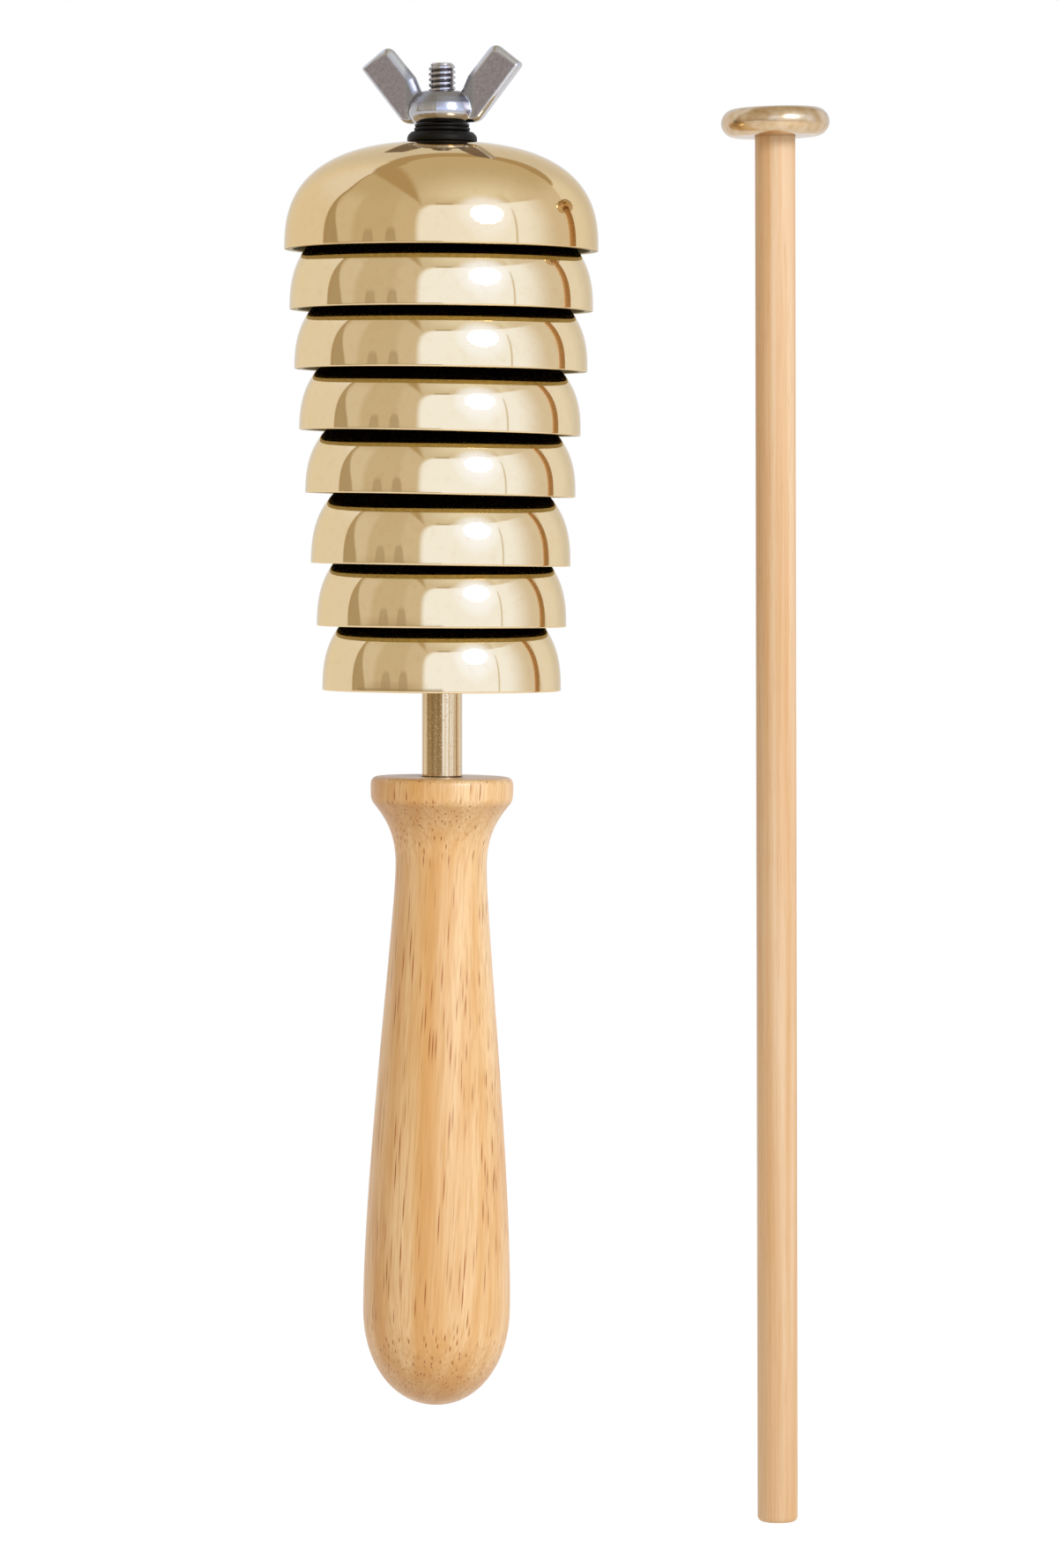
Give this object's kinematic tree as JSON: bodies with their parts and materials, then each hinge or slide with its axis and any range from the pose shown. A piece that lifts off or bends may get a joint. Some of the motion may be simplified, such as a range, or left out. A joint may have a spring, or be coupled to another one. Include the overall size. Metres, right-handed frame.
{
  "type": "hand-held bell tree",
  "caption": "Nested cup bells on a spindle above a turned wooden handle, clamped by a wing nut, with a wooden striker that has a metal disc head.",
  "frame": {"origin": "on the spindle's axis at the middle of the hand's grip, 65 mm above the handle's butt", "axes": "+Z along the spindle towards the wing nut, +X towards the striker that stands beside the bell tree, -Y towards the viewer"},
  "size_m": [0.129, 0.0742, 0.3481],
  "materials": {
    "bell_brass": "mirror polished",
    "plated_brass": "satin plated",
    "turned_brass": "turned and lightly polished",
    "nickel": "bright nickel plate",
    "zinc_steel": "zinc plated",
    "rubber": "matt black",
    "nylon": "black moulded",
    "handle_wood": "satin lacquer",
    "stick_wood": "sanded and sealed"
  },
  "bodies": {
    "handle_and_spindle": {"handle": "handle_wood", "handle_insert": "plated_brass", "spindle_rod": "zinc_steel", "support_tube": "plated_brass", "base_washer": "zinc_steel", "spacer_1": "nylon", "spacer_2": "nylon", "spacer_3": "nylon", "spacer_4": "nylon", "spacer_5": "nylon", "spacer_6": "nylon", "spacer_7": "nylon"},
    "bell_1": {"bell_1": "bell_brass", "grommet_1": "rubber"},
    "bell_2": {"bell_2": "bell_brass", "grommet_2": "rubber"},
    "bell_3": {"bell_3": "bell_brass", "grommet_3": "rubber"},
    "bell_4": {"bell_4": "bell_brass", "grommet_4": "rubber"},
    "bell_5": {"bell_5": "bell_brass", "grommet_5": "rubber"},
    "bell_6": {"bell_6": "bell_brass", "grommet_6": "rubber"},
    "bell_7": {"bell_7": "bell_brass", "grommet_7": "rubber"},
    "bell_8": {"bell_8": "bell_brass", "grommet_8": "rubber"},
    "nut_washer": {"nut_washer": "rubber"},
    "wing_nut": {"wing_nut": "nickel"},
    "striker": {"striker_stick": "stick_wood", "striker_head": "turned_brass"}
  },
  "joints": [
    {"name": "bell_1_turn", "type": "hinge", "parent": "handle_and_spindle", "child": "bell_1", "pos_m": [0, 0, 0.2325], "axis": [0, 0, 1], "continuous": true},
    {"name": "bell_2_turn", "type": "hinge", "parent": "handle_and_spindle", "child": "bell_2", "pos_m": [0, 0, 0.2173], "axis": [0, 0, 1], "continuous": true},
    {"name": "bell_3_turn", "type": "hinge", "parent": "handle_and_spindle", "child": "bell_3", "pos_m": [0, 0, 0.2021], "axis": [0, 0, 1], "continuous": true},
    {"name": "bell_4_turn", "type": "hinge", "parent": "handle_and_spindle", "child": "bell_4", "pos_m": [0, 0, 0.1869], "axis": [0, 0, 1], "continuous": true},
    {"name": "bell_5_turn", "type": "hinge", "parent": "handle_and_spindle", "child": "bell_5", "pos_m": [0, 0, 0.1717], "axis": [0, 0, 1], "continuous": true},
    {"name": "bell_6_turn", "type": "hinge", "parent": "handle_and_spindle", "child": "bell_6", "pos_m": [0, 0, 0.1565], "axis": [0, 0, 1], "continuous": true},
    {"name": "bell_7_turn", "type": "hinge", "parent": "handle_and_spindle", "child": "bell_7", "pos_m": [0, 0, 0.1413], "axis": [0, 0, 1], "continuous": true},
    {"name": "bell_8_turn", "type": "hinge", "parent": "handle_and_spindle", "child": "bell_8", "pos_m": [0, 0, 0.1261], "axis": [0, 0, 1], "continuous": true},
    {"name": "nut_rise", "type": "slide", "parent": "handle_and_spindle", "child": "nut_washer", "axis": [0, 0, 1], "range_m": [0, 0.00604]},
    {"name": "nut_turn", "type": "hinge", "parent": "nut_washer", "child": "wing_nut", "pos_m": [0, 0, 0.2371], "axis": [0, 0, 1], "range_deg": [0, 1710]},
    {"name": "striker_reach", "type": "slide", "parent": "handle_and_spindle", "child": "striker", "axis": [1, 0, 0], "range_m": [-0.035, 0.08]}
  ],
  "couplings": [
    {"joint": "nut_rise", "follows": "nut_turn", "m_per_rad": 0.00020213}
  ]
}
